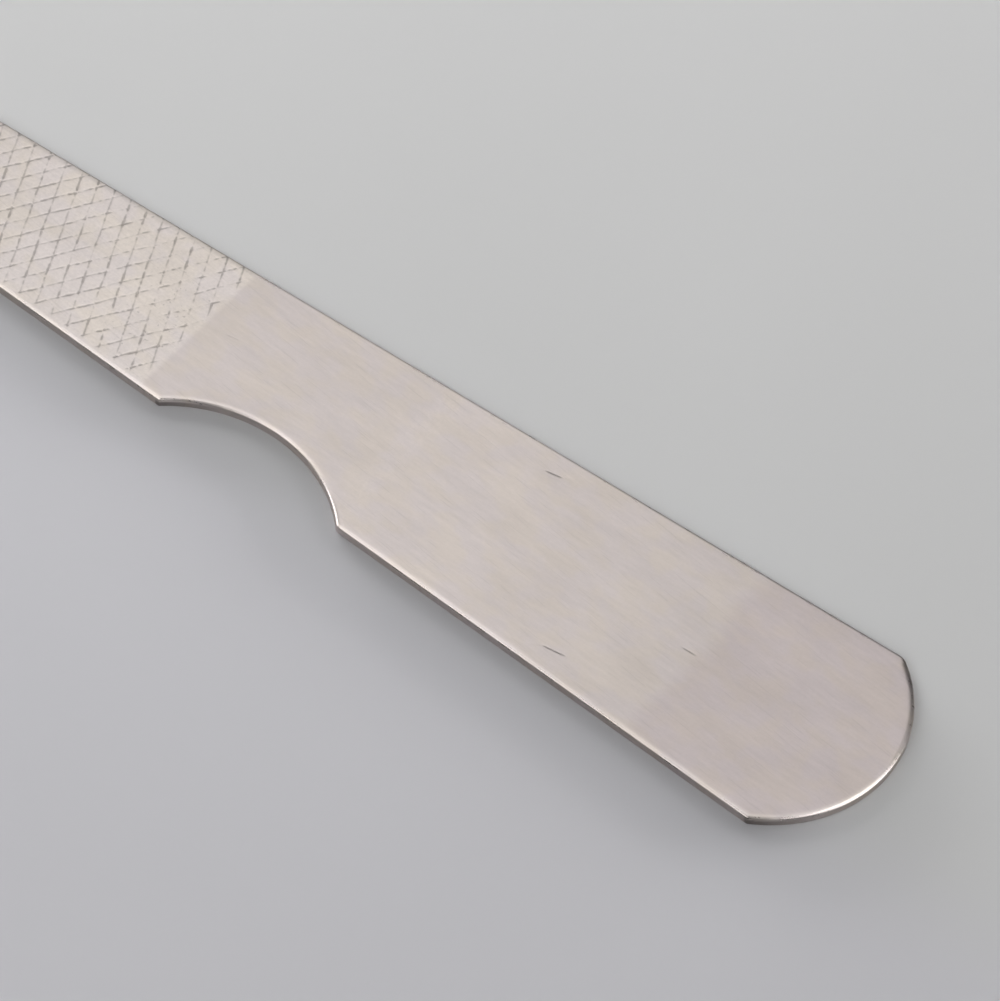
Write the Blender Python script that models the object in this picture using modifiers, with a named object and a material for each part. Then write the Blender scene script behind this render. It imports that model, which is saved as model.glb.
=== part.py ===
"""One-piece steel spudger: a tapered strip with a wide blade, a thumb notch and a hatched grip.

Units are metres, +Z is up and +X runs along the strip towards its wide blade. The strip lies flat on
Z = 0, and the origin is under the middle of its bounding box.
"""

import math

import bmesh
import bpy
import numpy as np

# Strip
LENGTH = 0.165                    # from the round narrow end to the top of the blade's arc
THICKNESS = 0.0008
TIP_WIDTH = 0.02046               # the two long edges, carried on to the blade's end
HALF_TAPER = math.radians(2.42)   # each long edge leans this far from the centreline
EDGE_ROUND = 0.00016              # rounding of every long edge, above and below
EDGE_ROUND_STEPS = 2

# Blade end
TIP_RADIUS = 0.01195
TIP_ARC_SHIFT = 0.00014           # the arc is ground a little towards the far side
FAR_SHOULDER_RADIUS = 0.0015
NEAR_SHOULDER_RADIUS = 0.0003

# Thumb notch, in the near side (-Y)
NOTCH_RADIUS = 0.01262
NOTCH_FROM_TIP = 0.05541
NOTCH_CENTRE_Y = -0.01673
NOTCH_GRIP_CORNER_RADIUS = 0.0002
NOTCH_BLADE_CORNER_RADIUS = 0.0008

# Hatched grip, scored into the upper face
GRIP_FROM_TIP = 0.0661
GRIP_LENGTH = 0.062
SCORE_WIDTH = 0.00022
SCORE_DEPTH = 0.00006
SCORE_MARGIN = 0.00045            # the lines stop this far from the strip's long edges
# For each family: angle from +X, spacing across the lines, and where one line crosses the centreline,
# measured from the tip
SCORE_FAMILIES = (
    (math.radians(-66.27), 0.001465, 0.068923),
    (math.radians(58.23), 0.001386, 0.068647),
)

ARC_STEP = math.radians(4.0)
FILLET_STEP = math.radians(12.0)
WELD_DISTANCE = 0.00001
OVERSHOOT = 0.0002                # how far a cutter stands out of the face that it cuts

STEEL_COLOUR = (0.60, 0.565, 0.545, 1.0)
STEEL_ROUGHNESS = 0.38
STEEL_METALLIC = 1.0

TIP_X = LENGTH / 2


def half_width(x):
    """Half of the strip's width where the long edges are straight."""
    return TIP_WIDTH / 2 - (TIP_X - x) * math.tan(HALF_TAPER)


def edge_frame(side):
    """A point on one long edge, its direction towards the tip, and its inward normal. side is +1 or -1."""
    point = np.array([TIP_X, side * TIP_WIDTH / 2])
    along = np.array([math.cos(HALF_TAPER), side * math.sin(HALF_TAPER)])
    inward = np.array([math.sin(HALF_TAPER), -side * math.cos(HALF_TAPER)])
    return point, along, inward


def corner(side, arc_centre, arc_radius, fillet_radius, arc_is_hollow, towards_tip):
    """The fillet between a long edge and an arc: its centre, and where it meets the edge and the arc."""
    point, along, inward = edge_frame(side)
    reach = arc_radius + fillet_radius if arc_is_hollow else arc_radius - fillet_radius
    start = point + inward * fillet_radius - arc_centre
    middle = -start @ along
    spread = math.sqrt(middle**2 - start @ start + reach**2)
    run = middle + spread if towards_tip else middle - spread
    centre = arc_centre + start + along * run
    on_edge = centre - inward * fillet_radius
    on_arc = arc_centre + (centre - arc_centre) * arc_radius / reach
    return centre, on_edge, on_arc


def arc(centre, start, end, step, clockwise=False):
    """Points on a circle about centre from start to end, both included."""
    radius = np.linalg.norm(start - centre)
    first = math.atan2(*(start - centre)[::-1])
    last = math.atan2(*(end - centre)[::-1])
    turn = (first - last if clockwise else last - first) % math.tau
    count = max(2, math.ceil(turn / step) + 1)
    sign = -1.0 if clockwise else 1.0
    angles = first + sign * np.linspace(0.0, turn, count)
    return [centre + radius * np.array([math.cos(a), math.sin(a)]) for a in angles]


def strip_outline():
    """The strip seen from above, anticlockwise from the narrow end's near side."""
    tip_centre = np.array([TIP_X - TIP_RADIUS, TIP_ARC_SHIFT])
    notch_centre = np.array([TIP_X - NOTCH_FROM_TIP, NOTCH_CENTRE_Y])

    lean = math.sin(HALF_TAPER)
    end_radius = half_width(-TIP_X) * math.cos(HALF_TAPER) / (1.0 - lean)
    end_centre = np.array([-TIP_X + end_radius, 0.0])
    end_near = end_centre + end_radius * np.array([-lean, -math.cos(HALF_TAPER)])
    end_far = end_near * np.array([1.0, -1.0])

    grip_corner = corner(-1, notch_centre, NOTCH_RADIUS, NOTCH_GRIP_CORNER_RADIUS, True, False)
    blade_corner = corner(-1, notch_centre, NOTCH_RADIUS, NOTCH_BLADE_CORNER_RADIUS, True, True)
    near_shoulder = corner(-1, tip_centre, TIP_RADIUS, NEAR_SHOULDER_RADIUS, False, True)
    far_shoulder = corner(1, tip_centre, TIP_RADIUS, FAR_SHOULDER_RADIUS, False, True)

    centre, on_edge, on_arc = grip_corner
    outline = arc(centre, on_edge, on_arc, FILLET_STEP)
    outline += arc(notch_centre, on_arc, blade_corner[2], ARC_STEP, clockwise=True)[1:-1]
    centre, on_edge, on_arc = blade_corner
    outline += arc(centre, on_arc, on_edge, FILLET_STEP)
    centre, on_edge, on_arc = near_shoulder
    outline += arc(centre, on_edge, on_arc, FILLET_STEP)
    outline += arc(tip_centre, on_arc, far_shoulder[2], ARC_STEP)[1:-1]
    centre, on_edge, on_arc = far_shoulder
    outline += arc(centre, on_arc, on_edge, FILLET_STEP)
    outline += arc(end_centre, end_far, end_near, FILLET_STEP)
    return outline


def steel_material():
    """Satin stainless steel."""
    material = bpy.data.materials.new("satin_steel")
    material.use_nodes = True
    shader = material.node_tree.nodes["Principled BSDF"]
    shader.inputs["Base Color"].default_value = STEEL_COLOUR
    shader.inputs["Roughness"].default_value = STEEL_ROUGHNESS
    shader.inputs["Metallic"].default_value = STEEL_METALLIC
    return material


def filled_plate(name, outline, thickness, collection):
    """A flat closed plate with this outline, standing on Z = 0."""
    curve = bpy.data.curves.new(name, "CURVE")
    curve.dimensions = "2D"
    curve.fill_mode = "BOTH"
    curve.extrude = thickness / 2
    spline = curve.splines.new("POLY")
    spline.points.add(len(outline) - 1)
    for spline_point, (x, y) in zip(spline.points, outline):
        spline_point.co = (x, y, 0.0, 1.0)
    spline.use_cyclic_u = True
    guide = bpy.data.objects.new(name + "_outline", curve)
    guide.location.z = thickness / 2
    collection.objects.link(guide)
    bpy.context.view_layer.update()

    mesh = bpy.data.meshes.new_from_object(guide.evaluated_get(bpy.context.evaluated_depsgraph_get()))
    mesh.name = name
    solid = bmesh.new()
    solid.from_mesh(mesh)
    bmesh.ops.remove_doubles(solid, verts=solid.verts, dist=WELD_DISTANCE)
    bmesh.ops.dissolve_limit(
        solid, angle_limit=math.radians(1.0), verts=solid.verts, edges=solid.edges
    )
    bmesh.ops.recalc_face_normals(solid, faces=solid.faces)
    solid.to_mesh(mesh)
    solid.free()
    plate = bpy.data.objects.new(name, mesh)
    plate.matrix_world = guide.matrix_world
    collection.objects.link(plate)
    bpy.data.objects.remove(guide)
    return plate


def round_edges(plate):
    """Round the rims of the upper and lower faces."""
    bevel = plate.modifiers.new("rounded_edges", "BEVEL")
    bevel.width = EDGE_ROUND
    bevel.segments = EDGE_ROUND_STEPS
    bevel.limit_method = "ANGLE"
    bevel.angle_limit = math.radians(60.0)


def score_lines(angle, spacing, crossing):
    """The start and end of each line of one family, as far as it runs inside the grip."""
    along = np.array([math.cos(angle), math.sin(angle)])
    step = spacing / abs(math.sin(angle))
    grip_high = TIP_X - GRIP_FROM_TIP
    grip_low = grip_high - GRIP_LENGTH
    edge_slope = math.tan(HALF_TAPER)
    reach = half_width(grip_high) / abs(math.tan(angle))
    first = math.ceil((grip_low - reach - (TIP_X - crossing)) / step)
    last = math.floor((grip_high + reach - (TIP_X - crossing)) / step)
    for index in range(first, last + 1):
        x = TIP_X - crossing + index * step
        limits = []
        for side in (-1.0, 1.0):
            # the run along the line until it meets the margin inside this long edge
            run = side * (half_width(x) - SCORE_MARGIN) / (along[1] - side * edge_slope * along[0])
            ends = sorted(((grip_low - x) / along[0], (grip_high - x) / along[0]))
            limits.append(min(max(run, ends[0]), ends[1]))
        low, high = sorted(limits)
        if high - low > spacing / 2:
            origin = np.array([x, 0.0])
            yield origin + low * along, origin + high * along


def score_cutter(name, angle, spacing, crossing, collection):
    """V-shaped bars, one for each score line of a family, whose keels reach down into the upper face."""
    bars = bmesh.new()
    across = np.array([-math.sin(angle), math.cos(angle)])
    half_top = SCORE_WIDTH / 2 * (SCORE_DEPTH + OVERSHOOT) / SCORE_DEPTH
    top = THICKNESS + OVERSHOOT
    keel = THICKNESS - SCORE_DEPTH
    for start, end in score_lines(angle, spacing, crossing):
        rings = []
        for point in (start, end):
            left = point + half_top * across
            right = point - half_top * across
            corners = ((*left, top), (*right, top), (*point, keel))
            rings.append([bars.verts.new(place) for place in corners])
        bars.faces.new(rings[0])
        bars.faces.new(rings[1][::-1])
        for near, far in ((0, 1), (1, 2), (2, 0)):
            bars.faces.new((rings[0][far], rings[0][near], rings[1][near], rings[1][far]))
    bmesh.ops.recalc_face_normals(bars, faces=bars.faces)
    mesh = bpy.data.meshes.new(name)
    bars.to_mesh(mesh)
    bars.free()
    cutter = bpy.data.objects.new(name, mesh)
    cutter.hide_render = True
    cutter.display_type = "WIRE"
    collection.objects.link(cutter)
    return cutter


def cut(plate, cutter):
    """Take the cutter's shape out of the plate."""
    boolean = plate.modifiers.new("cut_" + cutter.name, "BOOLEAN")
    boolean.operation = "DIFFERENCE"
    boolean.solver = "EXACT"
    boolean.object = cutter


def new_collection(name):
    collection = bpy.data.collections.new(name)
    bpy.context.scene.collection.children.link(collection)
    return collection


def main():
    for old in list(bpy.data.objects):
        bpy.data.objects.remove(old, do_unlink=True)
    parts = new_collection("spudger")
    cutters = new_collection("cutters")

    strip = filled_plate("steel_strip", strip_outline(), THICKNESS, parts)
    strip.data.materials.append(steel_material())
    round_edges(strip)
    for index, family in enumerate(SCORE_FAMILIES):
        cut(strip, score_cutter(f"score_bars_{index + 1}", *family, cutters))
    strip.data.shade_smooth()
    strip.data.set_sharp_from_angle(angle=math.radians(20.0))


main()
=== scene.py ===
"""Studio scene for a one-piece steel spudger: the strip's fine surface, its steel, a floor and soft lights.

Units are metres. The strip lies on Z = 0, with +X towards its wide blade and its thumb notch on the -Y side.
"""

import math

import bmesh
import bpy
import numpy as np
from mathutils import Matrix, Vector
from mathutils.geometry import delaunay_2d_cdt


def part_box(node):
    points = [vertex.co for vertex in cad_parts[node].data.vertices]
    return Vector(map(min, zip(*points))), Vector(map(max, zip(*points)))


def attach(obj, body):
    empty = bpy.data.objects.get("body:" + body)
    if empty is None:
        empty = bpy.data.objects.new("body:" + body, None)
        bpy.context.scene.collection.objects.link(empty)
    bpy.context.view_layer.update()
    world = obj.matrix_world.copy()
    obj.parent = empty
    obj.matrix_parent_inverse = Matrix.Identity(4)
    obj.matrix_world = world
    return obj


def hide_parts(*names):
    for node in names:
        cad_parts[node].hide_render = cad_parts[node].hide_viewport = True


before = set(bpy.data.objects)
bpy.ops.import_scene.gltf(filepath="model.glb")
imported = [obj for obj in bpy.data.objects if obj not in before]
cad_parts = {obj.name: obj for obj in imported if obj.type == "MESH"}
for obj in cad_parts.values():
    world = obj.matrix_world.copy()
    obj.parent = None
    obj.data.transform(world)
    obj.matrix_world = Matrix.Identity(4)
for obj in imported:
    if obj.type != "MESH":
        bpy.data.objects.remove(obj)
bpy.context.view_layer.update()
strip_low, strip_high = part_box("steel_strip")

# Strip, with the CAD model's own proportions
TIP_X = strip_high.x
NARROW_X = strip_low.x
THICKNESS = strip_high.z - strip_low.z
HALF_TAPER = math.radians(2.42)
TIP_WIDTH = 0.02046
TIP_RADIUS = 0.01195
TIP_ARC_SHIFT = 0.00014
FAR_SHOULDER_RADIUS = 0.0015
NEAR_SHOULDER_RADIUS = 0.0003
NOTCH_RADIUS = 0.01262
NOTCH_FROM_TIP = 0.05541
NOTCH_CENTRE_Y = -0.01673
NOTCH_GRIP_CORNER_RADIUS = 0.0002
NOTCH_BLADE_CORNER_RADIUS = 0.0008

# Steps along the outline
ARC_STEP = math.radians(0.6)
FILLET_STEP = math.radians(6.0)
NARROW_END_STEP = math.radians(3.0)
RUN_STEP = 0.0016
RUN_FIRST_STEP = 0.00006
RUN_GROWTH = 1.3

# Tumbled edges: the upper face falls away over this width to the side wall, and the lower edge is round.
# The far edge, which faces +Y, is left sharper.
CROWN_WIDTH = 0.00062
CROWN_DROP = 0.0002
FAR_CROWN_WIDTH = 0.0006
FAR_CROWN_DROP = 0.00004
TIP_CROWN_WIDTH = 0.00075         # the tip's rim is rounder where it faces this way
TIP_CROWN_DROP = 0.00024
TIP_CROWN_TOWARDS = np.array([0.8, 0.6])
TIP_FULLNESS = 0.00005            # the tip reaches this much further, fading out over the run below
TIP_FULLNESS_RUN = 0.006
FAR_FULLNESS = 1.012              # the far half is this much fuller than the near half
FAR_FACING = (0.8, 0.98)          # the far rim grows sharp between these shares of facing +Y
TIP_FACING = (0.85, 0.95)         # the same for the tip's rounder rim
CROWN_FLATNESS = 3.0              # exponent across the crown: a higher one keeps the face flat for longer
CROWN_ROUNDNESS = 2.0             # exponent down the crown
CROWN_INSETS = (0.000008, 0.00003, 0.00007, 0.00012, 0.00018, 0.00026, 0.00036, 0.00048, 0.00062, 0.00078)
RING_SLACK = 0.000002             # a ring's point this much nearer the outline than its inset is in a corner
LOWER_ROUND = 0.00014
LOWER_ROUND_STEPS = 5
WALL_ROWS = 3

# Score lines of the grip
GRIP_FROM_TIP = 0.0661
GRIP_LENGTH = 0.062
# For each family: angle from +X, spacing, where one line crosses the centreline (from the tip), a seed, and
# the shortest and longest dash
SCORE_FAMILIES = (
    (math.radians(-66.27), 0.001465, 0.068923, 11, (0.0005, 0.0016)),
    (math.radians(58.23), 0.001386, 0.068647, 29, (0.0003, 0.0010)),
)
SCORE_HALF_WIDTH = 0.000122
SCORE_DEPTH = 0.00003
SCORE_BURR = 0.04                 # a low rim beside each line, as a share of its depth
SCORE_NARROW = 0.85               # width of the faintest line and of a fully pressed one, as shares
SCORE_WIDE = 1.08
# Rows of points beside a line, as shares of its half width, and the depth at each as a share of its depth
SCORE_PROFILE = ((0.0, 1.0), (0.5, 0.62), (1.0, 0.0), (1.35, -SCORE_BURR), (1.8, 0.0))
SCORE_ROWS_BETWEEN = 4
SCORE_NEAR_RING = 8               # the crown ring where the lines stop on the notch's side
SCORE_FADE = 0.0003
SCORE_END_GAP = 0.0002            # the lines stop this far inside the grip's two ends
SCORE_END_ROOM = 0.005            # no line crosses the centreline this close to an end of the strip
SCORE_SHORTEST = 0.00005
SCORE_CROSSING = 0.3              # share of the shallower line's depth that is added where two lines cross
SCORE_MOST_PRESSED = 1.25
SCORE_DARKEST = 1.5               # the highest value of the "score" layer
DASH_STEP = 0.00005
DASH_GAPS = (0.00005, 0.00022)
DASH_PRESSURES = (0.45, 1.0)
BEAD_STEP = 0.00022               # a line is a row of beads, some of them punched in harder
BEAD_PRESSURES = (0.38, 1.0)
STRONG_BEADS = 0.16
STRONG_BEAD_PRESSURE = 1.3
KNOT = 0.1                        # extra pressure where two lines cross
KNOT_REACH = 1.6                  # in half widths of a line
WOBBLE = 0.00002
WOBBLE_WAVES = 5
WOBBLE_LENGTHS = (0.0015, 0.004)
WOBBLE_FADE = 0.0008
WOBBLE_SEED = 5

# Wear takes this much off the pressure everywhere, and more in some patches of the grip: the families that
# they wear, centre, radii and amount
WORN_EVERYWHERE = 0.05
WORN_PATCH_EDGE = (0.75, 1.15)    # where a patch is fully worn and where it ends, as shares of its radii
WEAR_RECOVERY = 0.55              # how far a hard-pressed line keeps its depth in spite of wear
WORN_PATCHES = (
    ((1,), (0.0090, 0.0045), (0.0068, 0.0056), 0.27),
    ((0, 1), (0.0136, 0.0003), (0.0026, 0.0030), 0.26),
    ((0,), (0.0085, -0.0050), (0.0058, 0.0028), 0.25),
)

# Small scratches in the plain face: centre, length, half width, depth, and turn from +X
SCRATCHES = (
    ((0.04613, 0.00673), 0.0016, 0.00010, 0.000027, math.radians(12.0)),
    ((0.05638, -0.00690), 0.0021, 0.00010, 0.000030, math.radians(9.5)),
    ((0.06428, -0.00018), 0.0014, 0.00010, 0.000018, math.radians(3.0)),
    ((0.01886, 0.00117), 0.0014, 0.00009, 0.000008, math.radians(9.0)),
)
SCRATCH_ROWS = (0.0, 0.5, 1.0, 1.4)
SCRATCH_STEP = 0.00014

# What each point of the mesh notes for the steel's nodes: how deeply it is scored, how near it is to the
# edge, and whether it is on the side wall or the underside
POINT_LAYERS = ("score", "edge", "wall")

FACE_GRID = 0.002
JOIN_EPSILON = 1e-7
SHARP_ANGLE = math.radians(40.0)


# ---------------------------------------------------------------- outline

def half_width(x):
    """Half of the strip's width where the long edges are straight."""
    return TIP_WIDTH / 2 - (TIP_X - x) * math.tan(HALF_TAPER)


def edge_frame(side):
    """A point on one long edge, its direction towards the tip, and its inward normal. side is +1 or -1."""
    point = np.array([TIP_X, side * TIP_WIDTH / 2])
    along = np.array([math.cos(HALF_TAPER), side * math.sin(HALF_TAPER)])
    inward = np.array([math.sin(HALF_TAPER), -side * math.cos(HALF_TAPER)])
    return point, along, inward


def corner(side, arc_centre, arc_radius, fillet_radius, arc_is_hollow, towards_tip):
    """The fillet between a long edge and an arc: its centre, and where it meets the edge and the arc."""
    point, along, inward = edge_frame(side)
    reach = arc_radius + fillet_radius if arc_is_hollow else arc_radius - fillet_radius
    start = point + inward * fillet_radius - arc_centre
    middle = -start @ along
    spread = math.sqrt(middle**2 - start @ start + reach**2)
    run = middle + spread if towards_tip else middle - spread
    centre = arc_centre + start + along * run
    on_edge = centre - inward * fillet_radius
    on_arc = arc_centre + (centre - arc_centre) * arc_radius / reach
    return centre, on_edge, on_arc


def arc(centre, start, end, step, hollow=False):
    """Points on a circle from start up to, but not at, end, and the strip's outward normal at each."""
    first = math.atan2(*(start - centre)[::-1])
    last = math.atan2(*(end - centre)[::-1])
    turn = (first - last if hollow else last - first) % math.tau
    count = math.ceil(turn / step)
    sign = -1.0 if hollow else 1.0
    angles = first + sign * np.linspace(0.0, turn, count + 1)[:-1]
    spokes = np.column_stack((np.cos(angles), np.sin(angles)))
    return centre + np.linalg.norm(start - centre) * spokes, sign * spokes


def run(start, end):
    """Points on a straight edge from start up to, but not at, end, closest together near both ends."""
    length = np.linalg.norm(end - start)
    along = (end - start) / length
    count = math.ceil(math.log(RUN_STEP / RUN_FIRST_STEP, RUN_GROWTH))
    graded = np.cumsum(RUN_FIRST_STEP * RUN_GROWTH ** np.arange(count))
    middle = length - 2 * graded[-1]
    even = graded[-1] + np.linspace(0.0, middle, math.ceil(middle / RUN_STEP) + 1)[1:-1]
    distances = np.concatenate(([0.0], graded, even, length - graded[::-1]))
    normal = np.array([along[1], -along[0]])
    return start + distances[:, None] * along, np.tile(normal, (len(distances), 1))


def strip_outline():
    """The strip seen from above, anticlockwise from the notch's grip-side corner, with outward normals."""
    tip_centre = np.array([TIP_X - TIP_RADIUS, TIP_ARC_SHIFT])
    notch_centre = np.array([TIP_X - NOTCH_FROM_TIP, NOTCH_CENTRE_Y])
    lean = math.sin(HALF_TAPER)
    end_radius = half_width(NARROW_X) * math.cos(HALF_TAPER) / (1.0 - lean)
    end_centre = np.array([NARROW_X + end_radius, 0.0])
    end_near = end_centre + end_radius * np.array([-lean, -math.cos(HALF_TAPER)])
    end_far = end_near * np.array([1.0, -1.0])

    grip_corner = corner(-1, notch_centre, NOTCH_RADIUS, NOTCH_GRIP_CORNER_RADIUS, True, False)
    blade_corner = corner(-1, notch_centre, NOTCH_RADIUS, NOTCH_BLADE_CORNER_RADIUS, True, True)
    near_shoulder = corner(-1, tip_centre, TIP_RADIUS, NEAR_SHOULDER_RADIUS, False, True)
    far_shoulder = corner(1, tip_centre, TIP_RADIUS, FAR_SHOULDER_RADIUS, False, True)

    stretches = [
        arc(grip_corner[0], grip_corner[1], grip_corner[2], FILLET_STEP),
        arc(notch_centre, grip_corner[2], blade_corner[2], ARC_STEP, hollow=True),
        arc(blade_corner[0], blade_corner[2], blade_corner[1], FILLET_STEP),
        run(blade_corner[1], near_shoulder[1]),
        arc(near_shoulder[0], near_shoulder[1], near_shoulder[2], FILLET_STEP),
        arc(tip_centre, near_shoulder[2], far_shoulder[2], ARC_STEP),
        arc(far_shoulder[0], far_shoulder[2], far_shoulder[1], FILLET_STEP),
        run(far_shoulder[1], end_far),
        arc(end_centre, end_far, end_near, NARROW_END_STEP),
        run(end_near, grip_corner[1]),
    ]
    return np.concatenate([s[0] for s in stretches]), np.concatenate([s[1] for s in stretches])


OUTLINE, OUTWARD = strip_outline()


def nearest_edge(places):
    """For each place, its distance to the outline, and the outward normal of the outline there."""
    steps = np.roll(OUTLINE, -1, axis=0) - OUTLINE
    lengths = (steps**2).sum(axis=1)
    distances = []
    normals = []
    for block in np.array_split(places, max(1, len(places) // 2000)):
        offsets = block[:, None] - OUTLINE[None]
        shares = np.clip((offsets * steps).sum(axis=2) / lengths, 0.0, 1.0)
        gaps = np.linalg.norm(offsets - shares[..., None] * steps, axis=2)
        nearest = gaps.argmin(axis=1)
        rows = np.arange(len(block))
        share = shares[rows, nearest][:, None]
        mixed = OUTWARD[nearest] * (1.0 - share) + np.roll(OUTWARD, -1, axis=0)[nearest] * share
        distances.append(gaps[rows, nearest])
        normals.append(mixed / np.linalg.norm(mixed, axis=1)[:, None])
    return np.concatenate(distances), np.concatenate(normals)


def inside(places):
    """Whether each place is inside the outline."""
    starts = OUTLINE[None]
    ends = np.roll(OUTLINE, -1, axis=0)[None]
    x = places[:, None, 0]
    y = places[:, None, 1]
    spans = (starts[..., 1] > y) != (ends[..., 1] > y)
    rise = np.where(spans, ends[..., 1] - starts[..., 1], 1.0)
    crossing = starts[..., 0] + (y - starts[..., 1]) / rise * (ends[..., 0] - starts[..., 0])
    return (spans & (x < crossing)).sum(axis=1) % 2 == 1


# ---------------------------------------------------------------- score lines

class ScoreFamily:
    """One family of parallel score lines, and how deep each line is along its length."""

    def __init__(self, index, angle, spacing, crossing, seed, dash_lengths):
        self.index = index
        self.spacing = spacing
        along = np.array([math.cos(angle), math.sin(angle)])
        self.along = along if along[1] > 0 else -along          # towards the far edge
        self.across = np.array([self.along[1], -self.along[0]])
        self.origin = np.array([TIP_X - crossing, 0.0])
        self.reach = TIP_WIDTH
        self.first = math.floor((GRIP_LOW - self.origin[0] - self.reach) * self.across[0] / spacing)
        self.last = math.ceil((GRIP_HIGH - self.origin[0] + self.reach) * self.across[0] / spacing)
        self.dashes = self.dash_table(seed, dash_lengths)

    def dash_table(self, seed, dash_lengths):
        """How firmly each line was pressed, from 0 to 1, at steps along it."""
        rng = np.random.default_rng(seed)
        steps = math.ceil(2 * self.reach / DASH_STEP)
        table = np.zeros((self.last - self.first + 1, steps))
        for row in table:
            at = 0
            while at < steps:
                length = int(rng.uniform(*dash_lengths) / DASH_STEP)
                gap = int(rng.uniform(*DASH_GAPS) / DASH_STEP)
                row[at:at + length] = rng.uniform(*DASH_PRESSURES)
                at += length + gap
            beads = rng.uniform(*BEAD_PRESSURES, math.ceil(steps * DASH_STEP / BEAD_STEP) + 2)
            beads[rng.random(len(beads)) < STRONG_BEADS] = STRONG_BEAD_PRESSURE
            row *= np.interp(np.arange(steps) * DASH_STEP / BEAD_STEP, np.arange(len(beads)), beads)
            row[:] = np.convolve(row, np.ones(3) / 3.0, mode="same")
        return table

    def beside(self, places):
        """How far each place is from the nearest line, in half widths of a line."""
        across = (places - self.origin) @ self.across
        return np.abs(across - np.rint(across / self.spacing) * self.spacing) / SCORE_HALF_WIDTH

    def depth(self, places, edge_gap, other):
        """The depth at each place that this family has cut there. edge_gap is the distance to the outline,
        and other is the family that crosses this one."""
        offsets = places - self.origin
        lines = np.rint(offsets @ self.across / self.spacing)
        steps = (offsets @ self.along + self.reach) / DASH_STEP
        steps = np.clip(steps, 0.0, self.dashes.shape[1] - 1.001)
        below = steps.astype(int)
        share = steps - below
        rows = np.clip(lines - self.first, 0, len(self.dashes) - 1).astype(int)
        pressed = self.dashes[rows, below] * (1.0 - share) + self.dashes[rows, below + 1] * share
        pressed = pressed + KNOT * np.clip(KNOT_REACH - other.beside(places), 0.0, 1.0)
        worn = self.wear(places)
        pressed = np.clip((pressed - worn) / (1.0 - WEAR_RECOVERY * worn), 0.0, SCORE_MOST_PRESSED)
        ends = (GRIP_HIGH - SCORE_END_GAP - places[:, 0], places[:, 0] - GRIP_LOW - SCORE_END_GAP)
        near_gap = np.where(places[:, 1] < 0.0, edge_gap - CROWN_INSETS[SCORE_NEAR_RING - 1], SCORE_FADE)
        for room in (*ends, near_gap):
            pressed = pressed * np.clip(room / SCORE_FADE, 0.0, 1.0)
        width = SCORE_NARROW + (SCORE_WIDE - SCORE_NARROW) * np.clip(pressed, 0.0, 1.0)
        return SCORE_DEPTH * np.interp(self.beside(places) / width, *zip(*SCORE_PROFILE)) * pressed

    def wear(self, places):
        """How much of this family is worn away at each place, from 0 to 1."""
        worn = np.full(len(places), WORN_EVERYWHERE)
        full, end = WORN_PATCH_EDGE
        for families, centre, radii, amount in WORN_PATCHES:
            if self.index in families:
                reach = np.linalg.norm((places - centre) / radii, axis=1)
                worn = np.maximum(worn, amount * np.clip((end - reach) / (end - full), 0.0, 1.0))
        return worn


GRIP_HIGH = TIP_X - GRIP_FROM_TIP
GRIP_LOW = GRIP_HIGH - GRIP_LENGTH
FAMILIES = [ScoreFamily(index, *family) for index, family in enumerate(SCORE_FAMILIES)]


def scratch_frame(turn):
    """The directions along and across a scratch."""
    return np.array([math.cos(turn), math.sin(turn)]), np.array([-math.sin(turn), math.cos(turn)])


def scratch_depth(places):
    """The depth of the small scratches at each place."""
    depth = np.zeros(len(places))
    for centre, length, half_breadth, deepest, turn in SCRATCHES:
        along, across = scratch_frame(turn)
        run_share = np.abs((places - centre) @ along) / (length / 2)
        beside = np.abs((places - centre) @ across) / half_breadth
        profile = np.interp(beside, *zip(*SCORE_PROFILE))
        depth += deepest * profile * np.clip(1.0 - run_share**3, 0.0, 1.0)
    return depth


def wobble(places, edge_gap):
    """How far each place of the grip is shifted, so that no score line runs quite straight."""
    rng = np.random.default_rng(WOBBLE_SEED)
    shift = np.zeros((len(places), 2))
    for _ in range(WOBBLE_WAVES):
        heading = rng.uniform(0.0, math.tau)
        wave = math.tau / rng.uniform(*WOBBLE_LENGTHS)
        swing = places @ (math.cos(heading), math.sin(heading)) * wave
        for axis in (0, 1):
            shift[:, axis] += np.sin(swing + rng.uniform(0.0, math.tau))
    end_room = np.minimum(GRIP_HIGH - places[:, 0], places[:, 0] - GRIP_LOW)
    room = np.minimum(edge_gap - CROWN_INSETS[-1], end_room)
    fade = np.clip(room / WOBBLE_FADE, 0.0, 1.0)
    return WOBBLE * math.sqrt(2.0 / WOBBLE_WAVES) * shift * fade[:, None]


# ---------------------------------------------------------------- upper face

class Drawing:
    """Points and lines in the plane of the upper face, which the face's mesh follows."""

    def __init__(self):
        self.places = []
        self.lines = []

    def point(self, place):
        self.places.append(Vector((float(place[0]), float(place[1]))))
        return len(self.places) - 1

    def line(self, start, end):
        self.lines.append((self.point(start), self.point(end)))


def crown_rings():
    """The outline's points moved inward to each ring of the crown, and which are clear of a corner."""
    rings = [(OUTLINE, np.ones(len(OUTLINE), bool))]
    for inset in CROWN_INSETS:
        ring = OUTLINE - inset * OUTWARD
        rings.append((ring, nearest_edge(ring)[0] > inset - RING_SLACK))
    return rings


def draw_crown(drawing, rings):
    """Rings along the edge, and the spokes that join them."""
    numbers = []
    for ring, kept in rings:
        row = [drawing.point(place) if keep else None for place, keep in zip(ring, kept)]
        numbers.append(row)
        chain = [number for number in row if number is not None]
        drawing.lines += list(zip(chain, chain[1:] + chain[:1]))
    for outer, inner in zip(numbers, numbers[1:]):
        drawing.lines += [(a, b) for a, b in zip(outer, inner) if a is not None and b is not None]
    return numbers[0]


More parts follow.
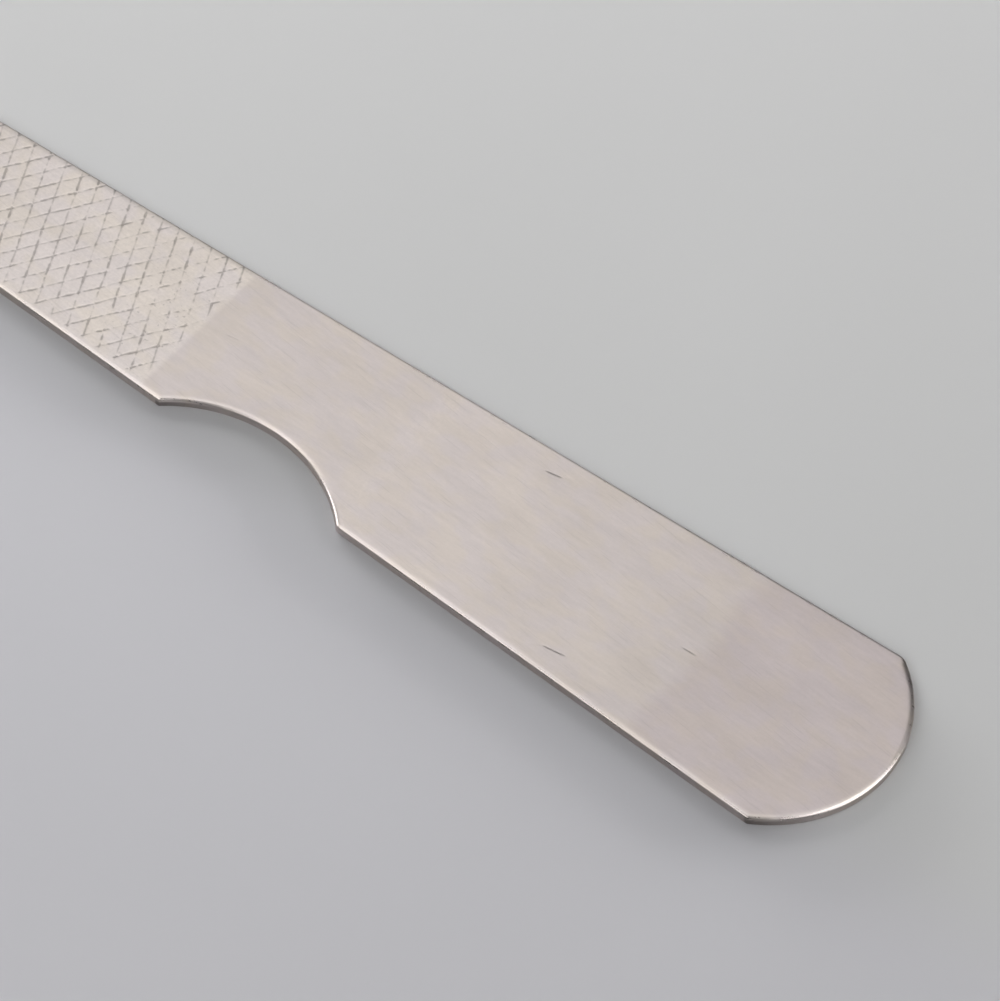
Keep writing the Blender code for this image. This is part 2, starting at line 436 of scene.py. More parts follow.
def cut_by_ring(ring, origin, along):
    """How far along a line, from its origin on the centreline, it meets the ring on either side."""
    ends = np.roll(ring, -1, axis=0)
    steps = ends - ring
    offsets = origin - ring
    turn = steps[:, 0] * along[1] - steps[:, 1] * along[0]
    share = (offsets[:, 0] * along[1] - offsets[:, 1] * along[0]) / np.where(turn == 0.0, np.inf, turn)
    hits = (share >= 0.0) & (share < 1.0) & (turn != 0.0)
    distances = ((ring + share[:, None] * steps - origin) @ along)[hits]
    below = distances[distances < 0.0]
    above = distances[distances > 0.0]
    if len(below) == 0 or len(above) == 0:
        return None
    return below.max(), above.min()


def draw_scores(drawing, rings):
    """Rows of points along each score line and between the lines."""
    outline = rings[0][0]
    near_ring = rings[SCORE_NEAR_RING][0][rings[SCORE_NEAR_RING][1]]
    last_ring = rings[-1][0][rings[-1][1]]
    shares = [share for share, _ in SCORE_PROFILE]
    for family in FAMILIES:
        sides = [side * share for share in shares for side in (-1, 1) if share or side > 0]
        beside = [side * SCORE_HALF_WIDTH for side in sides]
        margin = shares[-1] * SCORE_HALF_WIDTH
        between = np.linspace(margin, family.spacing - margin, SCORE_ROWS_BETWEEN + 2)[1:-1]
        for line in range(family.first, family.last + 1):
            for offset in (*beside, *between):
                shift = (line * family.spacing + offset) / family.across[0]
                origin = family.origin + (shift, 0.0)
                if not NARROW_X + SCORE_END_ROOM < origin[0] < TIP_X - SCORE_END_ROOM:
                    continue
                in_line = offset in beside
                far = cut_by_ring(outline if in_line else last_ring, origin, family.along)
                near = cut_by_ring(near_ring if in_line else last_ring, origin, family.along)
                if far is None or near is None:
                    continue
                limits = sorted((edge - origin[0]) / family.along[0] for edge in (GRIP_LOW, GRIP_HIGH))
                start = max(near[0], limits[0])
                end = min(far[1], limits[1])
                if end - start > SCORE_SHORTEST:
                    drawing.line(origin + start * family.along, origin + end * family.along)
    for x in (GRIP_LOW, GRIP_HIGH):
        start, end = cut_by_ring(last_ring, np.array([x, 0.0]), np.array([0.0, 1.0]))
        drawing.line((x, start), (x, end))


def draw_scratches(drawing):
    """Rows of points along each small scratch."""
    for centre, length, half_breadth, _, turn in SCRATCHES:
        along, across = scratch_frame(turn)
        steps = np.linspace(-length / 2, length / 2, math.ceil(length / SCRATCH_STEP) + 1)
        for share in SCRATCH_ROWS:
            for side in (-1.0, 1.0) if share else (1.0,):
                row = [centre + step * along + side * share * half_breadth * across for step in steps]
                numbers = [drawing.point(place) for place in row]
                drawing.lines += list(zip(numbers, numbers[1:]))


def draw_plain_face(drawing):
    """A loose grid over the plain parts of the face."""
    columns = np.arange(NARROW_X, TIP_X, FACE_GRID)
    rows = np.arange(-TIP_WIDTH / 2, TIP_WIDTH / 2, FACE_GRID)
    grid = np.stack(np.meshgrid(columns, rows), axis=-1).reshape(-1, 2)
    grid = grid[inside(grid)]
    grid = grid[nearest_edge(grid)[0] > CROWN_INSETS[-1] + FACE_GRID / 4]
    plain = (grid[:, 0] < GRIP_LOW - FACE_GRID / 4) | (grid[:, 0] > GRIP_HIGH + FACE_GRID / 4)
    for place in grid[plain]:
        drawing.point(place)


def crown_drop(edge_gap, outward):
    """How far the face has fallen at this distance from the outline, where the outline faces this way."""
    far = np.clip((outward[:, 1] - FAR_FACING[0]) / (FAR_FACING[1] - FAR_FACING[0]), 0.0, 1.0)
    width = CROWN_WIDTH + (FAR_CROWN_WIDTH - CROWN_WIDTH) * far
    drop = CROWN_DROP + (FAR_CROWN_DROP - CROWN_DROP) * far
    facing = outward @ TIP_CROWN_TOWARDS
    rounder = np.clip((facing - TIP_FACING[0]) / (TIP_FACING[1] - TIP_FACING[0]), 0.0, 1.0)
    width = width + (TIP_CROWN_WIDTH - CROWN_WIDTH) * rounder
    drop = drop + (TIP_CROWN_DROP - CROWN_DROP) * rounder
    share = np.clip(1.0 - edge_gap / width, 0.0, 1.0)
    return drop * (1.0 - (1.0 - share**CROWN_FLATNESS) ** (1.0 / CROWN_ROUNDNESS))


def upper_face():
    """The flat upper face as a mesh, with a layer for the depth of the score lines at each of its points."""
    drawing = Drawing()
    rings = crown_rings()
    border = draw_crown(drawing, rings)
    draw_scores(drawing, rings)
    draw_scratches(drawing)
    draw_plain_face(drawing)
    places, _, faces, *_ = delaunay_2d_cdt(drawing.places, drawing.lines, [border], 1, JOIN_EPSILON, False)
    on_outline = nearest_edge(np.array(places))[0] < CROWN_INSETS[0] / 2
    faces = [face for face in faces if not on_outline[list(face)].all()]     # the notch stays open

    mesh = bmesh.new()
    for layer in POINT_LAYERS:
        mesh.verts.layers.float.new(layer)
    for place in places:
        mesh.verts.new((place.x, place.y, 0.0))
    mesh.verts.ensure_lookup_table()
    for face in faces:
        mesh.faces.new([mesh.verts[number] for number in face])
    mesh.normal_update()
    bmesh.ops.join_triangles(
        mesh,
        faces=mesh.faces,
        angle_face_threshold=math.radians(10.0),
        angle_shape_threshold=math.pi,
    )
    return mesh


def lift_face(mesh):
    """Give the flat upper face its heights, and note how scored and how near the edge each point is."""
    mesh.verts.ensure_lookup_table()
    places = np.array([vert.co[:2] for vert in mesh.verts])
    edge_gap, outward = nearest_edge(places)
    cuts = [family.depth(places, edge_gap, other) for family, other in zip(FAMILIES, FAMILIES[::-1])]
    deepest = np.maximum(*cuts)
    shallower = np.minimum(*cuts)
    crossed = deepest + SCORE_CROSSING * np.clip(shallower, 0.0, None)
    scored = np.where(deepest > 0.0, crossed, shallower)
    scored = scored + scratch_depth(places)
    heights = THICKNESS - crown_drop(edge_gap, outward) - scored
    shifted = places + wobble(places, edge_gap)
    score_layer = mesh.verts.layers.float["score"]
    edge_layer = mesh.verts.layers.float["edge"]
    for vert, place, height, cut, gap in zip(mesh.verts, shifted, heights, scored, edge_gap):
        vert.co = (*place, height)
        vert[score_layer] = min(max(cut / SCORE_DEPTH, 0.0), SCORE_DARKEST)
        vert[edge_layer] = max(1.0 - gap / CROWN_WIDTH, 0.0)


# ---------------------------------------------------------------- walls and underside

def border_loop(mesh):
    """The upper face's border vertices in order."""
    edges = {edge for edge in mesh.edges if edge.is_boundary}
    first = next(iter(sorted(edges, key=lambda edge: edge.index)))
    loop = [first.verts[0], first.verts[1]]
    while True:
        last = loop[-1]
        onward = [edge for edge in last.link_edges if edge in edges and edge.other_vert(last) is not loop[-2]]
        after = onward[0].other_vert(last)
        if after is loop[0]:
            return loop
        loop.append(after)


def wall_rows():
    """Inset and height of each row of the wall below the crown."""
    top = THICKNESS - CROWN_DROP
    rows = [(0.0, height) for height in np.linspace(top, LOWER_ROUND, WALL_ROWS + 1)[1:]]
    for angle in np.linspace(0.0, math.pi / 2, LOWER_ROUND_STEPS + 1)[1:]:
        rows.append((LOWER_ROUND * (1.0 - math.cos(angle)), LOWER_ROUND * (1.0 - math.sin(angle))))
    return rows


def close_body(mesh):
    """Add the side wall, the round lower edge and the underside."""
    mesh.edges.index_update()
    loop = border_loop(mesh)
    places = np.array([vert.co[:2] for vert in loop])
    _, normals = nearest_edge(places)
    edge_layer = mesh.verts.layers.float["edge"]
    wall_layer = mesh.verts.layers.float["wall"]
    above = loop
    for inset, height in wall_rows():
        row = [mesh.verts.new((*place, height)) for place in places - inset * normals]
        for vert in row:
            vert[edge_layer] = 1.0
            vert[wall_layer] = 1.0
        for number in range(len(row)):
            after = (number + 1) % len(row)
            mesh.faces.new((above[number], row[number], row[after], above[after]))
        above = row
    mesh.faces.new(above)
    bmesh.ops.recalc_face_normals(mesh, faces=mesh.faces)


def fill_out(mesh):
    """Widen the half of the body that is on the +Y side, and let the tip reach a little further."""
    for vert in mesh.verts:
        if vert.co.y > 0.0:
            vert.co.y *= FAR_FULLNESS
        vert.co.x += TIP_FULLNESS * max(0.0, 1.0 - (TIP_X - vert.co.x) / TIP_FULLNESS_RUN)


def build_strip():
    body = upper_face()
    lift_face(body)
    close_body(body)
    fill_out(body)
    data = bpy.data.meshes.new("steel_strip_fine")
    body.to_mesh(data)
    body.free()
    data.shade_smooth()
    data.set_sharp_from_angle(angle=SHARP_ANGLE)
    strip = bpy.data.objects.new("steel_strip_fine", data)
    bpy.context.scene.collection.objects.link(strip)
    return strip


# ---------------------------------------------------------------- materials

# The steel's colour in the grip, on the plain blade and on the ground end, and the slow drift over it
GRIP_COLOUR = (0.732, 0.666, 0.630, 1.0)
PLAIN_COLOUR = (0.650, 0.585, 0.558, 1.0)
GROUND_COLOUR = (0.598, 0.529, 0.515, 1.0)
WARM_DRIFT = (1.008, 1.003, 0.970, 1.0)
COOL_DRIFT = (0.995, 0.998, 1.014, 1.0)
GRIP_SOFTNESS = 0.0003
GROUND_X = TIP_X - 0.0176
GROUND_SOFTNESS = 0.0010          # the ground end starts over this distance to either side, and wavers
GROUND_WAVER = 0.0006
GROUND_FAR_SIDE = (0.0075, 0.0085)

# Textures: how often each repeats along X, Y and Z, per metre, and its turn about Z or its shift
BRUSHING_SCALE = (260.0, 2600.0, 900.0)
BRUSHING_TURNS = (math.radians(7.0), math.radians(-6.0))
HAIR_SCALE = (330.0, 9000.0, 900.0)
HAIR_SHIFT = 0.3
GRAIN_SCALE = (4200.0, 4200.0, 4200.0)
SPECK_SCALE = (3300.0, 3300.0, 3300.0)
SPECK_SHIFT = 0.7
CLOUD_SCALE = (150.0, 260.0, 260.0)
TINT_SCALE = (420.0, 520.0, 500.0)
# The values of a noise between which it counts, from where it starts to where it is full
NOISE_SPAN = (0.3, 0.7)
CLOUD_SPAN = (0.25, 0.75)
TINT_SPAN = (0.35, 0.65)
HAIR_SPAN = (0.64, 0.72)
SPECK_SPAN = (0.68, 0.74)

# What multiplies the steel's tone: the darkest and lightest, the darkest alone, or the change from 1
BRUSHING_TONES = (0.945, 1.055)
CLOUD_TONES = (0.955, 1.045)
HAIR_TONE = 0.935
# the score lines' darkening: dirt, and painted shade in the grooves
SCORE_DIRT_AND_SHADE_TONE = 0.66
# the steel's fine grain, whose lighter specks also serve as painted glints
GRAIN_AND_GLINT_CHANGE = 0.045
GRAIN_OUTSIDE_GRIP = 0.35         # the share of that change that is left on the blade
GRIP_RIM_CHANGE = 0.14
# From where to where along X the blade slowly darkens towards its ground end, and the tone at either end
SLOW_TONE = (TIP_X - 0.038, TIP_X - 0.020, 1.0, 0.90)
BAND_X = TIP_X - 0.0467           # a slightly paler band runs across the blade here
BAND_FADE = (0.0005, 0.0014)
BAND_CHANGE = 0.022

# Dark places: how dark, and along X and Y from where to where each one comes in or fades out
PITS_CHANGE = 0.22
PITS_START = (GRIP_HIGH - 0.0080, GRIP_HIGH - 0.0035)
PITS_END = (GRIP_HIGH - 0.0011, GRIP_HIGH - 0.0006)
PITS_NEAR_SIDE = (-0.0066, -0.0050)
PITS_FAR_SIDE = (0.0020, 0.0060)
PITS_FAR_SHARE = 0.15
# the tip's near corner and the notch's grip-side corner are darkened as painted shade
TIP_SHADE_CHANGE = 0.55
TIP_SHADE_START = (TIP_X - 0.0060, TIP_X - 0.0057)
TIP_SHADE_END = (TIP_X - 0.0057, TIP_X - 0.0022)
TIP_SHADE_NEAR_SIDE = (-0.0050, -0.0040)
NOTCH_SHADE_CHANGE = 0.5
NOTCH_SHADE_START = (TIP_X - 0.0645, TIP_X - 0.0643)
NOTCH_SHADE_END = (TIP_X - 0.0639, TIP_X - 0.0597)
NOTCH_SHADE_NEAR_SIDE = (-0.0020, 0.0)
# the far rim's darkening towards the tip is painted shade
FAR_RIM_SHADE_CHANGE = 0.3
FAR_RIM_START = (TIP_X - 0.045, TIP_X - 0.018)
FAR_RIM_SIDE = (0.0078, 0.0084)

# Roughness across the brushing, and what the rim, the score lines and the wall add or take off
ROUGHNESSES = (0.31, 0.37)
EDGE_SMOOTHER = 0.06
SCORE_ROUGHER = 0.2
WALL_ROUGHER = 0.1
HAIR_RELIEF = 0.25
GRAIN_RELIEF = 0.5
BUMP_STRENGTH = 0.3
BUMP_DISTANCE = 0.00001

FLOOR_COLOUR = (0.745, 0.745, 0.745, 1.0)
FLOOR_NEAR_COLOUR = (0.742, 0.736, 0.770, 1.0)
FLOOR_COLOUR_CHANGE = (-0.014, 0.0)    # along Y, under the strip
# The floor's painted light falloff away from the camera and to its right: from where to where, and the tone
# at either end
FLOOR_AWAY_PAINTED_LIGHT = (-0.06, 0.06, 0.96, 1.07)
FLOOR_LEFT_PAINTED_LIGHT = (0.0, 0.045, 1.035, 1.0)
FLOOR_RIGHT_PAINTED_LIGHT = (0.052, 0.078, 1.0, 0.972)
FLOOR_CLOUD_SCALE = (25.0, 25.0, 25.0)
FLOOR_CLOUD_TONES = (0.992, 1.008)
FLOOR_ROUGHNESS = 0.7
FLOOR_SPECULAR = 0.2


class Nodes:
    """Short calls for making and joining a material's nodes."""

    def __init__(self, material):
        material.use_nodes = True
        self.tree = material.node_tree
        self.shader = next(node for node in self.tree.nodes if node.type == "BSDF_PRINCIPLED")

    def add(self, kind, **settings):
        node = self.tree.nodes.new(kind)
        for name, value in settings.items():
            setattr(node, name, value)
        return node

    def join(self, source, target):
        self.tree.links.new(source, target)

    def feed(self, socket, value):
        if isinstance(value, bpy.types.NodeSocket):
            self.join(value, socket)
        else:
            socket.default_value = value

    def maths(self, operation, first, second=0.0, clamp=False):
        node = self.add("ShaderNodeMath", operation=operation, use_clamp=clamp)
        self.feed(node.inputs[0], first)
        self.feed(node.inputs[1], second)
        return node.outputs[0]

    def product(self, *values):
        result = values[0]
        for value in values[1:]:
            result = self.maths("MULTIPLY", result, value)
        return result

    def ramp(self, value, from_low, from_high, to_low, to_high, smooth=True):
        node = self.add("ShaderNodeMapRange")
        node.interpolation_type = "SMOOTHSTEP" if smooth else "LINEAR"
        settings = {
            "Value": value,
            "From Min": from_low,
            "From Max": from_high,
            "To Min": to_low,
            "To Max": to_high,
        }
        for name, setting in settings.items():
            self.feed(node.inputs[name], setting)
        return node.outputs["Result"]

    def noise(self, vector, detail=2.0, roughness=0.5):
        node = self.add("ShaderNodeTexNoise")
        self.join(vector, node.inputs["Vector"])
        node.inputs["Scale"].default_value = 1.0
        node.inputs["Detail"].default_value = detail
        node.inputs["Roughness"].default_value = roughness
        return node.outputs["Fac"]

    def scaled(self, vector, scale, turn=0.0, shift=0.0):
        """The vector turned about Z, then scaled along each axis."""
        turned = self.add("ShaderNodeMapping")
        self.join(vector, turned.inputs["Vector"])
        turned.inputs["Rotation"].default_value = (0.0, 0.0, turn)
        turned.inputs["Location"].default_value = (shift, shift, shift)
        node = self.add("ShaderNodeMapping")
        self.join(turned.outputs["Vector"], node.inputs["Vector"])
        node.inputs["Scale"].default_value = scale
        return node.outputs["Vector"]

    def mix(self, share, first, second, blend="MIX"):
        node = self.add("ShaderNodeMix", data_type="RGBA", blend_type=blend)
        factor, first_socket, second_socket = (node.inputs[number] for number in (0, 6, 7))
        self.feed(factor, share)
        self.feed(first_socket, first)
        self.feed(second_socket, second)
        return node.outputs[2]

    def grey(self, value):
        node = self.add("ShaderNodeCombineColor")
        for channel in ("Red", "Green", "Blue"):
            self.join(value, node.inputs[channel])
        return node.outputs["Color"]

    def attribute(self, name):
        return self.add("ShaderNodeAttribute", attribute_name=name).outputs["Fac"]


def brushing(nodes, place):
    """Fine brushing in two directions, and the few deeper hairlines in it."""
    layers = [
        nodes.noise(nodes.scaled(place, BRUSHING_SCALE, turn, shift=turn), 3.0, 0.65)
        for turn in BRUSHING_TURNS
    ]
    brushed = nodes.maths("MULTIPLY", nodes.maths("ADD", *layers), 0.5)
    hairs = nodes.noise(nodes.scaled(place, HAIR_SCALE, BRUSHING_TURNS[0], shift=HAIR_SHIFT), 1.0, 0.5)
    return brushed, nodes.ramp(hairs, *HAIR_SPAN, 0.0, 1.0)


def ground_end(nodes, x, y, edge, cloud):
    """Where the blade's end is ground: inside its rim, and over the rim on the far side. On the near side the
    rim keeps the lighter colour as a painted highlight.
    """
    line = nodes.maths("ADD", x, nodes.ramp(cloud, *NOISE_SPAN, -GROUND_WAVER, GROUND_WAVER))
    # the lighter near rim is a painted highlight
    clear_of_rim_highlight = nodes.ramp(edge, 0.0, 0.6, 1.0, 0.0)
    return nodes.product(
        nodes.ramp(line, GROUND_X - GROUND_SOFTNESS, GROUND_X + GROUND_SOFTNESS, 0.0, 1.0),
        nodes.maths("MAXIMUM", clear_of_rim_highlight, nodes.ramp(y, *GROUND_FAR_SIDE, 0.0, 1.0)),
    )


def pale_band(nodes, x, grain):
    """The slightly paler band across the blade."""
    room = nodes.maths("ABSOLUTE", nodes.maths("SUBTRACT", x, BAND_X))
    band = nodes.product(nodes.ramp(room, *BAND_FADE, 1.0, 0.0), nodes.ramp(grain, 0.35, 0.6, 0.3, 1.0))
    return nodes.product(band, BAND_CHANGE)


def pits(nodes, place, x, y):
    """Dark specks near the grip's end."""
    specks = nodes.noise(nodes.scaled(place, SPECK_SCALE, shift=SPECK_SHIFT), 1.0, 0.5)
    return nodes.product(
        nodes.ramp(specks, *SPECK_SPAN, 0.0, PITS_CHANGE),
        nodes.ramp(x, *PITS_START, 0.0, 1.0),
        nodes.ramp(x, *PITS_END, 1.0, 0.0),
        nodes.ramp(y, *PITS_NEAR_SIDE, 0.0, 1.0),
        nodes.ramp(y, *PITS_FAR_SIDE, 1.0, PITS_FAR_SHARE),
    )


def corner_painted_shade(nodes, x, y, edge, wall):
    """Painted shade: the darkened rim and wall at the tip's near corner, and the wall at the notch's corner
    by the grip.
    """
    # painted shade at the tip's near corner
    tip_painted_shade = nodes.product(
        nodes.ramp(x, *TIP_SHADE_START, 0.0, 1.0),
        nodes.ramp(x, *TIP_SHADE_END, TIP_SHADE_CHANGE, 0.0, smooth=False),
        nodes.ramp(y, *TIP_SHADE_NEAR_SIDE, 1.0, 0.0),
    )
    notch_painted_shade = nodes.product(
        nodes.ramp(x, *NOTCH_SHADE_START, 0.0, 1.0),
        nodes.ramp(x, *NOTCH_SHADE_END, NOTCH_SHADE_CHANGE, 0.0, smooth=False),
        nodes.ramp(y, *NOTCH_SHADE_NEAR_SIDE, 1.0, 0.0),
    )
    rim = nodes.maths("MAXIMUM", wall, nodes.ramp(edge, 0.55, 0.95, 0.0, 0.75))
    return nodes.maths("ADD", nodes.product(rim, tip_painted_shade), nodes.product(wall, notch_painted_shade))


def far_rim_painted_shade(nodes, x, y, edge):
    """The rim of the far edge, which grows darker towards the tip as painted shade."""
    return nodes.product(
        nodes.ramp(edge, 0.6, 0.95, 0.0, FAR_RIM_SHADE_CHANGE),
        nodes.ramp(y, *FAR_RIM_SIDE, 0.0, 1.0),
        nodes.ramp(x, *FAR_RIM_START, 0.0, 1.0),
    )


def steel_material():
    """Satin steel: cross-brushed along the strip, with dirt and painted shade in the score lines and a cloudy
    tint.
    """
    material = bpy.data.materials.new("satin_steel")
    nodes = Nodes(material)
    place = nodes.add("ShaderNodeTexCoord").outputs["Object"]
    split = nodes.add("ShaderNodeSeparateXYZ")
    nodes.join(place, split.inputs[0])
    x = split.outputs["X"]
    y = split.outputs["Y"]
    score, edge, wall = (nodes.attribute(layer) for layer in POINT_LAYERS)

    brushed, hairline = brushing(nodes, place)
    grain = nodes.noise(nodes.scaled(place, GRAIN_SCALE), 2.0, 0.6)
    cloud = nodes.noise(nodes.scaled(place, CLOUD_SCALE), 3.0, 0.55)
    tint_cloud = nodes.noise(nodes.scaled(place, TINT_SCALE), 1.0, 0.5)
    past_grip = nodes.ramp(x, GRIP_HIGH - GRIP_SOFTNESS, GRIP_HIGH + GRIP_SOFTNESS, 0.0, 1.0)
    in_grip = nodes.maths("SUBTRACT", 1.0, past_grip)

    colour = nodes.mix(past_grip, GRIP_COLOUR, PLAIN_COLOUR)
    colour = nodes.mix(ground_end(nodes, x, y, edge, cloud), colour, GROUND_COLOUR)
    drift = nodes.mix(nodes.ramp(tint_cloud, *TINT_SPAN, 0.0, 1.0), WARM_DRIFT, COOL_DRIFT)
    colour = nodes.mix(1.0, colour, drift, "MULTIPLY")

    # fine grain, partly painted glints in its lighter specks
    grain_and_glints = nodes.product(
        nodes.ramp(in_grip, 0.0, 1.0, GRAIN_OUTSIDE_GRIP, 1.0),
        nodes.ramp(grain, *NOISE_SPAN, -GRAIN_AND_GLINT_CHANGE, GRAIN_AND_GLINT_CHANGE, smooth=False),
    )
    grip_rim = nodes.product(in_grip, nodes.ramp(edge, 0.0, 0.7, 0.0, GRIP_RIM_CHANGE))
    tone = nodes.product(
        nodes.ramp(x, *SLOW_TONE, smooth=False),
        nodes.ramp(brushed, *NOISE_SPAN, *BRUSHING_TONES, smooth=False),
        nodes.ramp(cloud, *CLOUD_SPAN, *CLOUD_TONES, smooth=False),
        # the score lines darkened for dirt and for painted shade in the grooves
        nodes.ramp(score, 0.02, 0.65, 1.0, SCORE_DIRT_AND_SHADE_TONE),
        nodes.ramp(hairline, 0.0, 1.0, 1.0, HAIR_TONE, smooth=False),
        nodes.maths("ADD", 1.0, pale_band(nodes, x, grain)),
        nodes.maths("ADD", 1.0, grain_and_glints),
        # painted shade at the tip's and the notch's corners
        nodes.maths("SUBTRACT", 1.0, corner_painted_shade(nodes, x, y, edge, wall)),
        nodes.maths("SUBTRACT", 1.0, pits(nodes, place, x, y)),
        # painted shade on the far rim
        nodes.maths("SUBTRACT", 1.0, far_rim_painted_shade(nodes, x, y, edge)),
        nodes.maths("SUBTRACT", 1.0, grip_rim),
    )
    colour = nodes.mix(1.0, colour, nodes.grey(tone), "MULTIPLY")
    nodes.join(colour, nodes.shader.inputs["Base Color"])

    rough = nodes.ramp(brushed, 0.2, 0.8, *ROUGHNESSES, smooth=False)
    rough = nodes.maths("SUBTRACT", rough, nodes.ramp(edge, 0.0, 0.7, 0.0, EDGE_SMOOTHER))
    rough = nodes.maths("ADD", rough, nodes.ramp(score, 0.0, 1.0, 0.0, SCORE_ROUGHER, smooth=False))
    rough = nodes.maths("ADD", rough, nodes.ramp(wall, 0.0, 1.0, 0.0, WALL_ROUGHER), clamp=True)
    nodes.join(rough, nodes.shader.inputs["Roughness"])
    nodes.shader.inputs["Metallic"].default_value = 1.0

    grain_relief = nodes.product(in_grip, nodes.ramp(grain, *NOISE_SPAN, 0.0, GRAIN_RELIEF))
    relief = nodes.maths("SUBTRACT", brushed, nodes.product(hairline, HAIR_RELIEF))
    relief = nodes.maths("ADD", relief, grain_relief)
    bump = nodes.add("ShaderNodeBump")
    bump.inputs["Strength"].default_value = BUMP_STRENGTH
    bump.inputs["Distance"].default_value = BUMP_DISTANCE
    nodes.join(relief, bump.inputs["Height"])
    nodes.join(bump.outputs["Normal"], nodes.shader.inputs["Normal"])
    return material


def floor_material():
    """A pale matt board whose grey drifts slowly from near to far and from left to right, as painted light
    falloff.
    """
    material = bpy.data.materials.new("pale_board")
    nodes = Nodes(material)
    place = nodes.add("ShaderNodeTexCoord").outputs["Object"]
    turned = nodes.add("ShaderNodeSeparateXYZ")
    nodes.join(nodes.scaled(place, (1.0, 1.0, 1.0), -CAMERA_AZIMUTH), turned.inputs[0])
    away = turned.outputs["Y"]
    right = turned.outputs["X"]
    split = nodes.add("ShaderNodeSeparateXYZ")
    nodes.join(place, split.inputs[0])
    past_strip = nodes.ramp(split.outputs["Y"], *FLOOR_COLOUR_CHANGE, 0.0, 1.0)
    cloud = nodes.noise(nodes.scaled(place, FLOOR_CLOUD_SCALE), 3.0, 0.5)
    colour = nodes.mix(past_strip, FLOOR_NEAR_COLOUR, FLOOR_COLOUR)
    # painted light falloff across the floor
    tone = nodes.product(
        nodes.ramp(away, *FLOOR_AWAY_PAINTED_LIGHT, smooth=False),
        nodes.ramp(right, *FLOOR_LEFT_PAINTED_LIGHT),
        nodes.ramp(right, *FLOOR_RIGHT_PAINTED_LIGHT),
        nodes.ramp(cloud, *NOISE_SPAN, *FLOOR_CLOUD_TONES, smooth=False),
    )
    colour = nodes.mix(1.0, colour, nodes.grey(tone), "MULTIPLY")
    nodes.join(colour, nodes.shader.inputs["Base Color"])
    nodes.shader.inputs["Roughness"].default_value = FLOOR_ROUGHNESS
    nodes.shader.inputs["Specular IOR Level"].default_value = FLOOR_SPECULAR
    return material


def surround_material():
    """The pale tone of the floor far from the strip as painted light: it glows, brighter higher up and
    towards +Y, and fades in around the lit part of the floor.
    """
    material = bpy.data.materials.new("pale_surround")
    nodes = Nodes(material)
    place = nodes.add("ShaderNodeTexCoord").outputs["Object"]
    reach = nodes.add("ShaderNodeVectorMath", operation="LENGTH")
    nodes.join(place, reach.inputs[0])
    cloud = nodes.noise(nodes.scaled(place, (2.0, 2.0, 2.0)), 2.0, 0.5)
    height = nodes.add("ShaderNodeSeparateXYZ")
    nodes.join(place, height.inputs[0])
    tone = nodes.product(
        nodes.ramp(cloud, 0.3, 0.7, 0.99, 1.01),
        nodes.ramp(height.outputs["Z"], 0.0, 0.8, 1.0, 1.12),
        nodes.ramp(height.outputs["Y"], -0.2, 0.25, 1.0, 1.17),
    )
    glow = nodes.add("ShaderNodeEmission")
    nodes.join(nodes.mix(1.0, SURROUND_GLOW_COLOUR, nodes.grey(tone), "MULTIPLY"), glow.inputs["Color"])
    clear = nodes.add("ShaderNodeBsdfTransparent")
    both = nodes.add("ShaderNodeMixShader")
    nodes.join(nodes.ramp(reach.outputs["Value"], SURROUND_START, SURROUND_FULL, 0.0, 1.0), both.inputs[0])
    nodes.join(clear.outputs[0], both.inputs[1])
    nodes.join(glow.outputs[0], both.inputs[2])
    output = next(node for node in nodes.tree.nodes if node.type == "OUTPUT_MATERIAL")
    nodes.join(both.outputs[0], output.inputs["Surface"])
    nodes.tree.nodes.remove(nodes.shader)
    return material


# ---------------------------------------------------------------- studio

FLOOR_SIZE = 12.0

# The surround: where it fades in, and the radius and height of each ring of its bowl
# the surround's glow: painted light standing in for the far lit floor
SURROUND_GLOW_COLOUR = (0.50, 0.50, 0.505, 1.0)
SURROUND_START = 0.115
SURROUND_FULL = 0.24
SURROUND_RINGS = (
    (0.11, 0.0),
    (0.3, 0.0),
    (1.0, 0.0),
    (3.0, 0.0),
    (4.0, 0.15),
    (4.6, 0.7),
    (4.8, 1.6),
    (4.8, 5.0),
)
SURROUND_LIFT = 0.0001
SURROUND_SIDES = 96

CAMERA_TARGET = Vector((0.04452, 0.00199, THICKNESS))
CAMERA_AZIMUTH = math.radians(30.67)
CAMERA_ELEVATION = math.radians(51.62)
CAMERA_ROLL = math.radians(8.045)
CAMERA_DISTANCE = 0.61728
CAMERA_LENS = 288.0
CAMERA_SENSOR = 36.0

WORLD_LEVEL = 0.114
